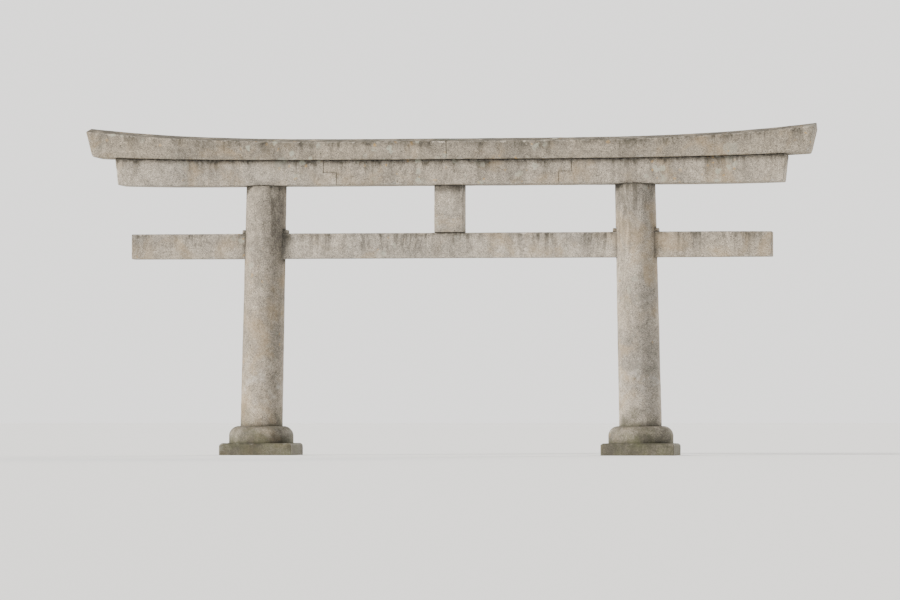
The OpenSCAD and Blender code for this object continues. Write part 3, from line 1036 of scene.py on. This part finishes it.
def pillar(side):
    """Round shaft with the mortise of the tie beam and the wedge slot cut right through it"""
    node = side + "_pillar"
    centre, radius = axis_of(node)
    foot, head = BOXES[node][0][2], BOXES["second_lintel_middle"][0][2]
    beam_low, beam_high = BOXES["tie_beam_middle"]
    wedge_high = BOXES[side + "_outer_wedge"][1]
    collar_rise = round(BOXES[side + "_collar_front"][1][2] - foot, PLACES)
    slot = wedge_high[2] + CUT_ABOVE
    stops = (foot + collar_rise, beam_low[2], beam_high[2], slot)
    levels = lines(foot, head, SHAFT_STEP, (0.0,), SEAM_LINES, stops)
    mortise = math.asin((beam_high[1] + CUT_BESIDE) / radius(beam_low[2]))
    notch = math.asin((wedge_high[1] + CUT_BESIDE) / radius(beam_low[2]))
    quarter = [*np.linspace(0, notch, SLOT_TURNS), *np.linspace(mortise, math.pi / 2, SHAFT_TURNS)]
    turns = {t for q in quarter for t in (q, math.pi - q, math.pi + q, 2 * math.pi - q)}
    turns = np.array(sorted({round(t, TURN_PLACES) for t in turns if t < 2 * math.pi - TINY}))
    z, t = np.meshgrid(levels, turns, indexing="ij")
    p = np.stack([centre(z) + radius(z) * np.cos(t), radius(z) * np.sin(t), z], axis=2).reshape(-1, 3)
    p = np.concatenate([p, [(centre(foot), 0, foot), (centre(head), 0, head)]])

    # The quads of the mortise and the slot are left out on both sides
    quads = ring_quads(len(levels), len(turns))
    turn, level = (turns + np.append(turns[1:], 2 * math.pi)) / 2, middles(levels)[:, None]
    aside = np.minimum(turn % math.pi, math.pi - turn % math.pi)
    cut = (aside < mortise) & (level > beam_low[2]) & (level < beam_high[2])
    cut |= (aside < notch) & (level > beam_high[2]) & (level < slot)
    walls = through_walls(quads[cut & (np.cos(turn) > 0)], turns)
    bottom = lid(len(p) - 2, 0, len(turns))[:, TURNED]
    top = lid(len(p) - 1, (len(levels) - 1) * len(turns), len(turns))
    used, faces = np.unique(np.concatenate([quads[~cut], walls, bottom, top]), return_inverse=True)

    p = p[used]
    z = p[:, 2]
    beside_beam = np.maximum(abs(p[:, 1]) - beam_high[1] / 2, 0)
    under_beam = beam_low[2] - z + SHELTERED + SHELTER_GROWS * beside_beam
    drop = np.where(z < beam_low[2], np.minimum(head - z, under_beam), head - z)
    held = pins(z=(z > head - TINY) | (z < foot + TINY))
    edge = np.isin(used, walls).astype(float)
    piece(node, p, faces.reshape(-1, 4), SHAFT, held, edge, drop, seam_at(head - z))


def collar_section(node, way, start):
    """Outline of a collar in the plane through its middle, from its foot outside to its top:
    evenly spaced points' distances from that middle, and their heights"""
    low, high = BOXES[node]
    section = [(high[1] if way > 0 else -low[1], low[2])]
    for tilt in np.linspace(0, math.pi / 2, COLLAR_RAYS):
        aim = (0, way * math.cos(tilt), math.sin(tilt))
        met = hit(node, ((low[0] + high[0]) / 2, way * start, low[2] + COLLAR_INSIDE), aim)
        section.append((abs(met.y), met.z))
    section = np.array(section)
    run = np.append(0, np.cumsum(np.linalg.norm(np.diff(section, axis=0), axis=1)))
    even = np.linspace(0, run[-1], COLLAR_POINTS)
    return [np.interp(even, run, section[:, k]) for k in (0, 1)]


def collar(side, face):
    """Front or back half of a rounded collar, as rings from one end of its joint to the other"""
    node = f"{side}_collar_{face}"
    low, high = BOXES[node]
    way, first = (1, 0) if face == "back" else (-1, math.pi)
    centre, radius = axis_of(side + "_pillar")
    reach, rise = collar_section(node, way, radius(high[2]) + COLLAR_INSIDE)
    bore_z = np.linspace(high[2], low[2], BORE_POINTS)
    centres = np.append(np.full(len(rise), (low[0] + high[0]) / 2), centre(bore_z))
    radii = np.append(reach, radius(bore_z) + COLLAR_GAP)
    levels = np.append(rise, bore_z)
    turns = first + lines(0, math.pi, COLLAR_STEP, SEAM_TURNS, SEAM_TURNS)
    rings = [np.stack([centres + radii * math.cos(t), radii * math.sin(t), levels], axis=1) for t in turns]
    p = np.concatenate(rings)

    # Quads between the rings, and fans that close the two ends
    around = len(levels)
    quads = ring_quads(len(turns), around)[:, :, TURNED].reshape(-1, 4)
    fan = np.arange(1, around - 2, 2)
    cap = np.stack([np.zeros(len(fan), int), fan, fan + 1, fan + 2], axis=1)
    faces = np.concatenate([quads, cap, cap[:, ::-1] + (len(turns) - 1) * around])

    place_in_ring = np.tile(np.arange(around), len(turns))
    bore, wall = place_in_ring >= len(rise), place_in_ring > len(rise)
    from_joint = np.repeat(np.minimum(turns - turns[0], turns[-1] - turns), around)
    held = pins(x=bore, y=bore | (from_joint < TINY), z=wall | (p[:, 2] < low[2] + TINY))
    drop = high[2] - p[:, 2] + COLLAR_DROP
    seam = seam_at(from_joint * reach[0]) * ~wall
    family = (side + "_collar_front", side + "_collar_back")
    piece(node, p, faces, FOOT, held, 0.0, drop, seam, family=family)


def keys():
    """The top lintel's two keys, which are the solids themselves with rounded edges and patina"""
    bronze = patina()
    for node in KEYS:
        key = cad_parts[node]
        key.data.materials.clear()
        key.data.materials.append(bronze)
        key.modifiers.new("joined", "WELD")
        rounding = key.modifiers.new("rounded", "BEVEL")
        rounding.width = KEY_ROUNDING
        rounding.segments = KEY_SEGMENTS


# Studio


def aimed(name, data, place, target):
    """New object at a place, turned to face the target"""
    made = added(name, data)
    made.location = place
    made.rotation_euler = (Vector(target) - made.location).to_track_quat("-Z", "Y").to_euler()
    return made


def sun(name, place, strength, spread, colour):
    light = bpy.data.lights.new(name, "SUN")
    light.energy = strength
    light.color = colour
    light.angle = math.radians(spread)
    aimed(name, light, place, LIGHTS_AIM)


def backdrop():
    """World that is bright behind the gate and dimmer on the side of its front"""
    world = bpy.data.worlds.new("studio")
    world.use_nodes = True
    tree = world.node_tree
    background = tree.nodes["Background"]
    background.inputs["Color"].default_value = (*BACKDROP_COLOUR, 1)
    way = tree.nodes.new("ShaderNodeTexCoord").outputs["Generated"]
    parts = tree.nodes.new("ShaderNodeSeparateXYZ")
    tree.links.new(way, parts.inputs[0])
    spread = tree.nodes.new("ShaderNodeMapRange")
    spread.interpolation_type = "SMOOTHSTEP"
    for socket, value in BACKDROP.items():
        spread.inputs[socket].default_value = value
    tree.links.new(parts.outputs["Y"], spread.inputs["Value"])
    tree.links.new(spread.outputs["Result"], background.inputs["Strength"])
    bpy.context.scene.world = world


def floor():
    """Wide floor under the gate"""
    mesh = bpy.data.meshes.new("floor")
    corners = [(x * FLOOR_REACH, y * FLOOR_REACH, 0) for x, y in ((-1, -1), (1, -1), (1, 1), (-1, 1))]
    mesh.from_pydata(corners, [], [(0, 1, 2, 3)])
    mesh.materials.append(Shader("floor").cover(FLOOR))
    added("floor", mesh)


def camera():
    lens = bpy.data.cameras.new("camera")
    lens.lens = CAMERA_LENS
    lens.clip_end = CAMERA_SEES_TO
    across, forward = CAMERA_DISTANCE * math.sin(CAMERA_TURN), CAMERA_DISTANCE * math.cos(CAMERA_TURN)
    bpy.context.scene.camera = aimed("camera", lens, (across, -forward, CAMERA_HEIGHT), CAMERA_AIM)


top_lintel()
second_lintel()
tie_beam()
centre_strut()
for node in sorted(n for n in BOXES if n.endswith("wedge")):
    wedge(node)
for node in ("right_plinth", "left_plinth"):
    plinth(node)
for side in ("left", "right"):
    pillar(side)
    collar(side, "back")
    collar(side, "front")
keys()

for name, settings in LIGHTS.items():
    sun(name, *settings)
backdrop()
floor()
camera()
